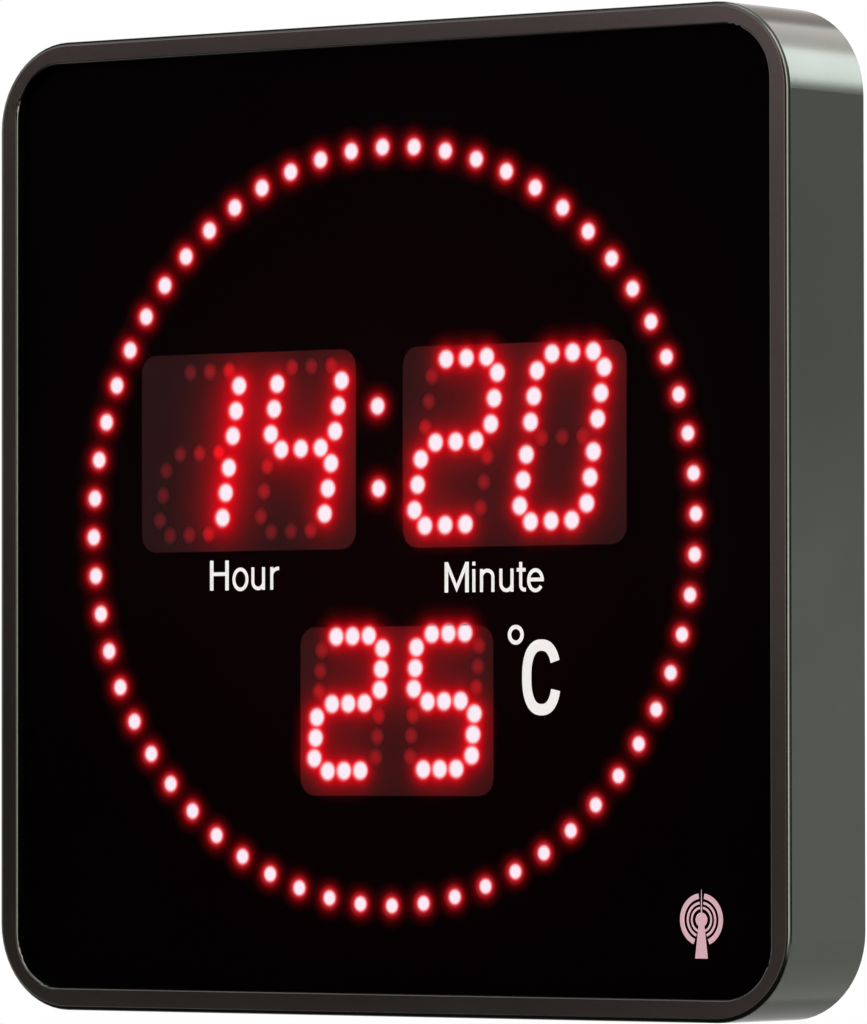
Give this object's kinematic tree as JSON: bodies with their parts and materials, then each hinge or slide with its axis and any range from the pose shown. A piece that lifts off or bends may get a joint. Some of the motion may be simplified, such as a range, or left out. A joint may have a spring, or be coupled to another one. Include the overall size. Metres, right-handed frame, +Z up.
{
  "type": "radio-controlled clock",
  "caption": "Square wall clock with a shallow rounded metal case and a black dial that shows time, seconds and temperature in red lamps.",
  "frame": {"origin": "middle of the back cover's outer face, on the wall plane", "axes": "+Z up, -Y the way the dial faces, +Y towards the wall, +X to the right seen from the front"},
  "size_m": [0.2814, 0.037, 0.2814],
  "materials": {
    "anodised_case": "satin graphite anodising",
    "clear_panel": "polished, lightly smoked acrylic",
    "foam_tape": "black foam",
    "printed_mask": "deep black print",
    "lamp_guide": "smoke-grey moulding",
    "red_lamp": "diffused red epoxy",
    "circuit_board": "dark solder mask",
    "black_moulding": "fine spark-eroded texture",
    "zinc_steel": "zinc plated",
    "button_rubber": "grey, matt",
    "chip_epoxy": "moulded epoxy",
    "cell_steel": "drawn can",
    "contact_brass": "sprung strip",
    "ferrite": "sintered",
    "copper_winding": "enamelled copper wire",
    "capacitor_can": "drawn can",
    "lead_sheath": "flexible insulation",
    "sensor_bead": "coated bead"
  },
  "bodies": {
    "case": {"case_frame": "anodised_case", "panel_tape": "foam_tape", "front_panel": "clear_panel", "dial_mask": "printed_mask", "lamp_guide": "lamp_guide", "lamp_board": "circuit_board", "second_lamps": "red_lamp", "colon_lamps": "red_lamp", "hour_tens_lamps": "red_lamp", "hour_units_lamps": "red_lamp", "minute_tens_lamps": "red_lamp", "minute_units_lamps": "red_lamp", "temperature_tens_lamps": "red_lamp", "temperature_units_lamps": "red_lamp", "reception_lamp": "red_lamp", "board_screws": "zinc_steel", "back_cover": "black_moulding", "cover_screws": "zinc_steel", "hanger_plates": "zinc_steel", "hanger_rivets": "zinc_steel", "switch_bodies": "chip_epoxy", "coin_cell": "cell_steel", "battery_minus_contact": "contact_brass", "battery_plus_contact": "contact_brass", "power_socket": "black_moulding", "power_pin": "zinc_steel", "power_nut": "zinc_steel", "power_leads": "lead_sheath", "ferrite_rod": "ferrite", "aerial_coil": "copper_winding", "aerial_clips": "black_moulding", "receiver_board": "circuit_board", "receiver_chip": "chip_epoxy", "processor": "chip_epoxy", "lamp_drivers": "chip_epoxy", "regulator": "chip_epoxy", "capacitors": "capacitor_can", "crystal": "cell_steel", "temperature_sensor": "sensor_bead"},
    "set_button": {"set_button": "button_rubber", "set_plunger": "black_moulding"},
    "plus_button": {"plus_button": "button_rubber", "plus_plunger": "black_moulding"},
    "minus_button": {"minus_button": "button_rubber", "minus_plunger": "black_moulding"},
    "wave_button": {"wave_button": "button_rubber", "wave_plunger": "black_moulding"},
    "dim_button": {"dim_button": "button_rubber", "dim_plunger": "black_moulding"},
    "battery_door": {"battery_door": "black_moulding"}
  },
  "joints": [
    {"name": "set_press", "type": "slide", "parent": "case", "child": "set_button", "axis": [0, -1, 0], "range_m": [0, 0.0005], "stiffness_N_per_m": 600},
    {"name": "plus_press", "type": "slide", "parent": "case", "child": "plus_button", "axis": [0, -1, 0], "range_m": [0, 0.0005], "stiffness_N_per_m": 600},
    {"name": "minus_press", "type": "slide", "parent": "case", "child": "minus_button", "axis": [0, -1, 0], "range_m": [0, 0.0005], "stiffness_N_per_m": 600},
    {"name": "wave_press", "type": "slide", "parent": "case", "child": "wave_button", "axis": [0, -1, 0], "range_m": [0, 0.0005], "stiffness_N_per_m": 600},
    {"name": "dim_press", "type": "slide", "parent": "case", "child": "dim_button", "axis": [0, -1, 0], "range_m": [0, 0.0005], "stiffness_N_per_m": 600},
    {"name": "battery_door_turn", "type": "hinge", "parent": "case", "child": "battery_door", "pos_m": [0.06, 0, -0.092], "axis": [0, 1, 0], "range_deg": [0, 60]}
  ]
}
